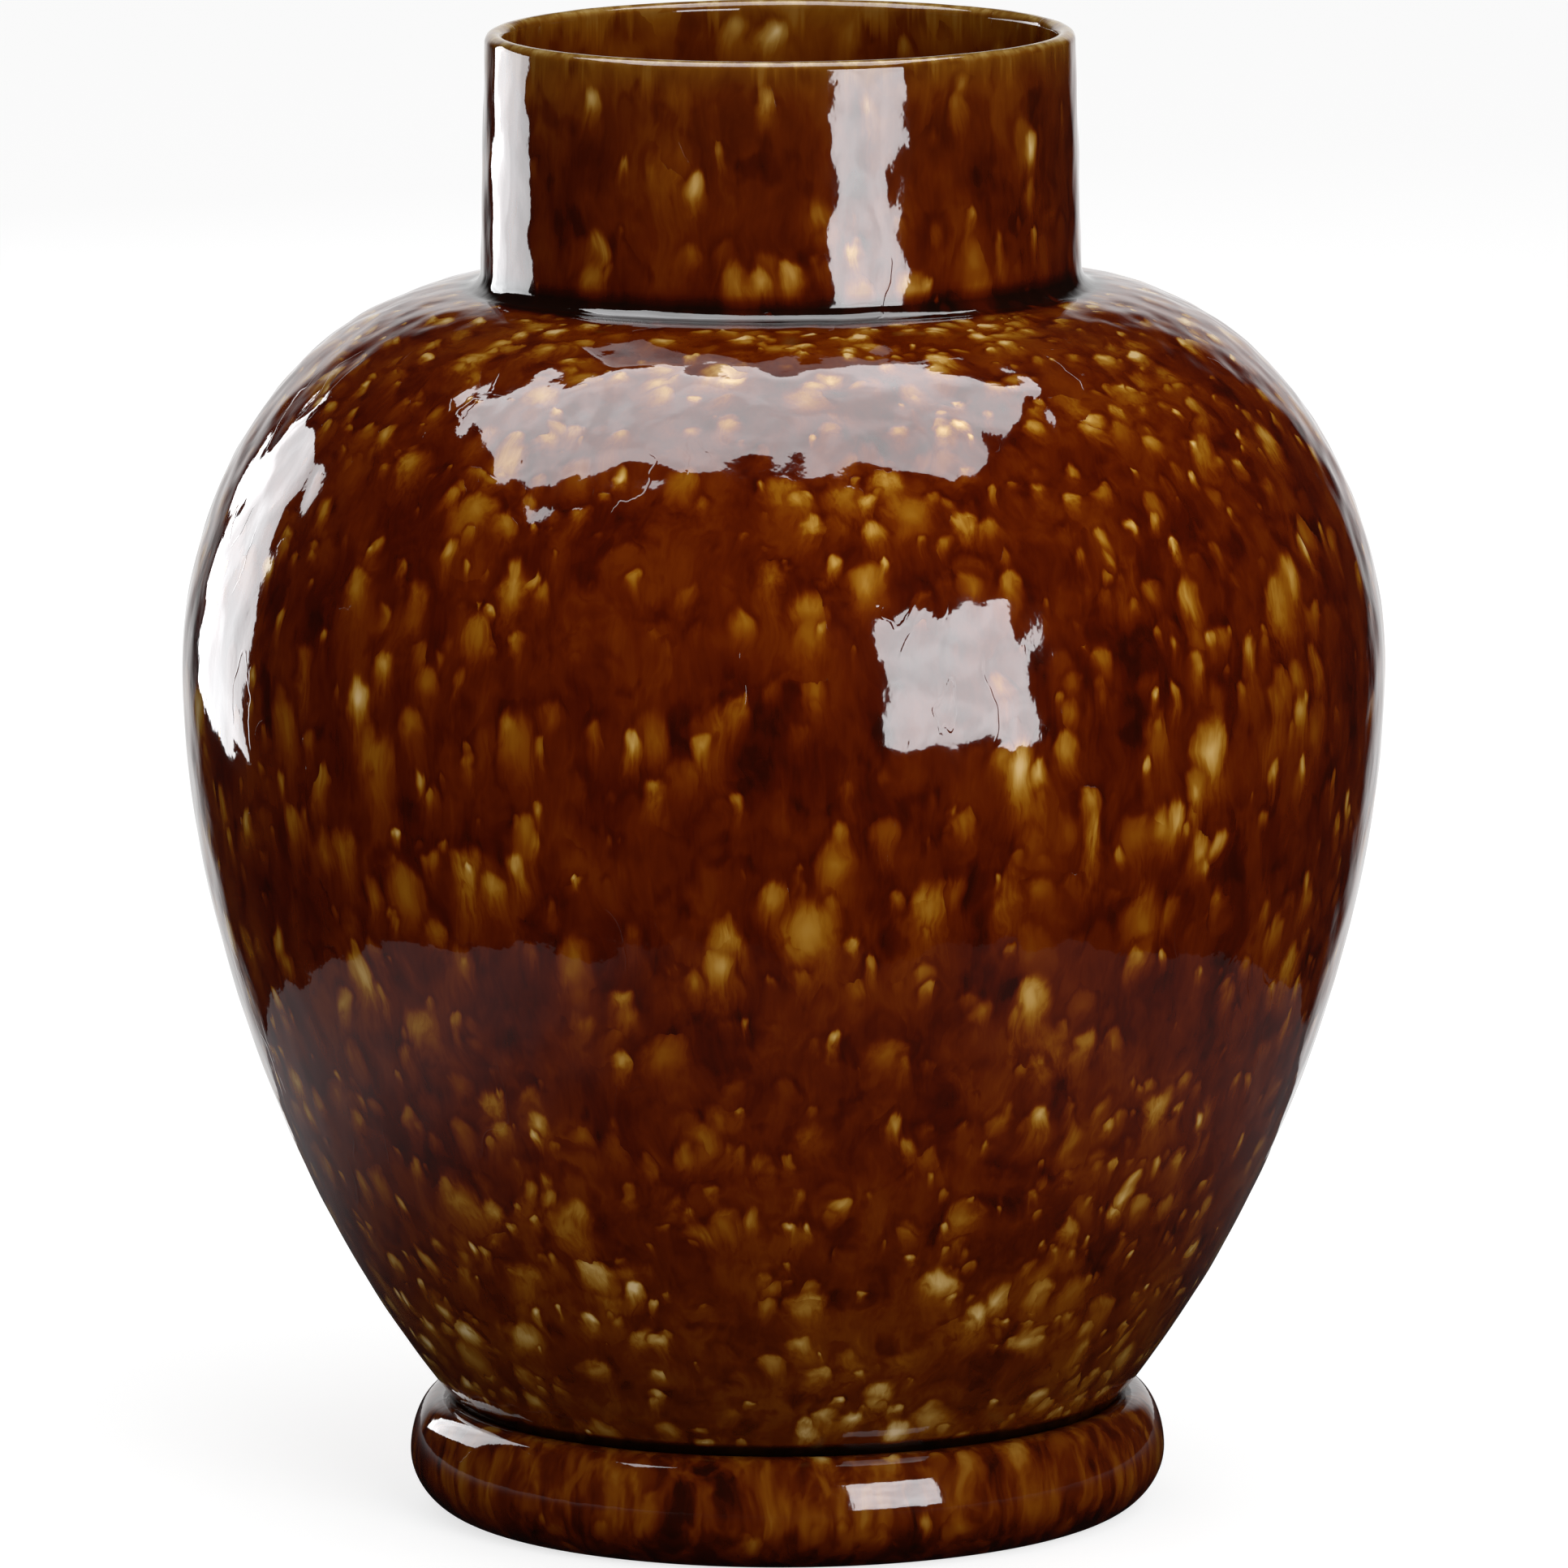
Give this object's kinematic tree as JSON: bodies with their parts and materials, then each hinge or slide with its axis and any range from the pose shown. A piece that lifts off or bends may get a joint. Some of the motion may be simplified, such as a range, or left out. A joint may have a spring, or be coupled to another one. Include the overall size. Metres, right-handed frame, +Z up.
{
  "type": "stoneware vase",
  "caption": "Large glazed stoneware vase with an ovoid body, a straight collar neck with a rounded lip and a rounded bead foot.",
  "frame": {"origin": "centre of the vase's lowest plane, the face that the foot stands on", "axes": "+Z up along the axis of the turned body; every direction across it is alike"},
  "size_m": [0.3234, 0.3234, 0.4],
  "materials": {
    "neck_glaze": "glossy iron-brown glaze with amber runs",
    "body_glaze": "glossy iron-brown glaze with amber drops and runs",
    "foot_glaze": "glossy iron-brown glaze, darker towards the table",
    "bare_clay": "unglazed fired stoneware, matt"
  },
  "bodies": {
    "root": {"neck_collar": "neck_glaze", "neck_joint_coil": "neck_glaze", "shoulder_section": "body_glaze", "belly_section": "body_glaze", "floor_slab": "bare_clay", "floor_joint_coil": "body_glaze", "foot_ring": "foot_glaze"}
  },
  "joints": []
}
